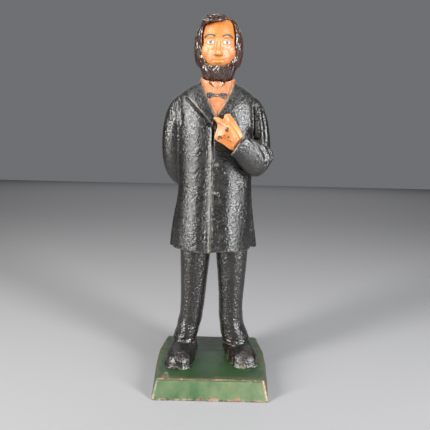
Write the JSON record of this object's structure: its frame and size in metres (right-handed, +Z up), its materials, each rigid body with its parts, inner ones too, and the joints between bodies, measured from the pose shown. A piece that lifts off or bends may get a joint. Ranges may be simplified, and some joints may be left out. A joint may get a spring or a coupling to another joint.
{
  "type": "mechanical coin bank",
  "caption": "Painted cast-iron mechanical bank: a standing bearded figure in a long coat on a plinth, with a lever behind that moves the forearm and head.",
  "frame": {"origin": "centre of the plinth's underside", "axes": "+Z up the figure, -Y the way the figure faces, +X to the figure's left"},
  "size_m": [0.078, 0.0779, 0.2493],
  "materials": {
    "black_paint": "satin, over rough cast iron",
    "green_paint": "satin, chipped at the edges",
    "skin_paint": "gloss, chipped",
    "hair_paint": "gloss",
    "bare_steel": "dull, slightly rusted",
    "brass": "tarnished"
  },
  "bodies": {
    "figure": {"front_casting": "black_paint", "back_casting": "black_paint", "head_pin": "bare_steel", "lever_pin": "bare_steel", "spring_post": "bare_steel", "coin_baffle": "bare_steel", "baffle_screw_lower": "bare_steel", "baffle_screw_upper": "bare_steel", "shoulder_screw_left": "bare_steel", "shoulder_screw_right": "bare_steel", "base_screw": "bare_steel", "coin_door_pin": "bare_steel", "door_stop": "bare_steel", "door_stop_rivet": "bare_steel"},
    "lever": {"thumb_lever": "bare_steel", "return_spring": "bare_steel"},
    "arm_wire": {"arm_link": "bare_steel"},
    "head_wire": {"head_link": "bare_steel"},
    "left_forearm": {"forearm": "black_paint", "arm_shaft": "bare_steel", "arm_washer": "bare_steel", "arm_crank": "bare_steel", "arm_shaft_nut": "bare_steel"},
    "nodding_head": {"head": "hair_paint"},
    "door": {"coin_door": "black_paint", "coin_door_knob": "brass"}
  },
  "joints": [
    {"name": "lever_press", "type": "hinge", "parent": "figure", "child": "lever", "pos_m": [0.0135, -0.00175, 0.126], "axis": [-1, 0, 0], "range_deg": [0, 13], "stiffness_Nm_per_rad": 0.6, "springref_deg": -20.05, "deforming": ["return_spring"]},
    {"name": "forearm_swing", "type": "hinge", "parent": "figure", "child": "left_forearm", "pos_m": [0.03, -0.00545, 0.146], "axis": [0, -1, 0], "range_deg": [0, 26]},
    {"name": "head_nod", "type": "hinge", "parent": "figure", "child": "nodding_head", "pos_m": [0, 0.00775, 0.195], "axis": [1, 0, 0], "range_deg": [0, 8]},
    {"name": "arm_link_swing", "type": "hinge", "parent": "lever", "child": "arm_wire", "pos_m": [0.0135, 0.01825, 0.126], "axis": [-1, 0, 0], "range_deg": [-13, 0]},
    {"name": "head_link_swing", "type": "hinge", "parent": "lever", "child": "head_wire", "pos_m": [0.0135, 0.00195, 0.126], "axis": [-1, 0, 0], "range_deg": [-13, 0]},
    {"name": "coin_door_hinge", "type": "hinge", "parent": "figure", "child": "door", "pos_m": [-0.007, 0.02955, 0.1145], "axis": [1, 0, 0], "range_deg": [0, 85]}
  ],
  "couplings": [
    {"joint": "forearm_swing", "follows": "lever_press", "ratio": 2},
    {"joint": "head_nod", "follows": "lever_press", "ratio": 0.6153},
    {"joint": "arm_link_swing", "follows": "lever_press", "ratio": -1},
    {"joint": "head_link_swing", "follows": "lever_press", "ratio": -1}
  ]
}
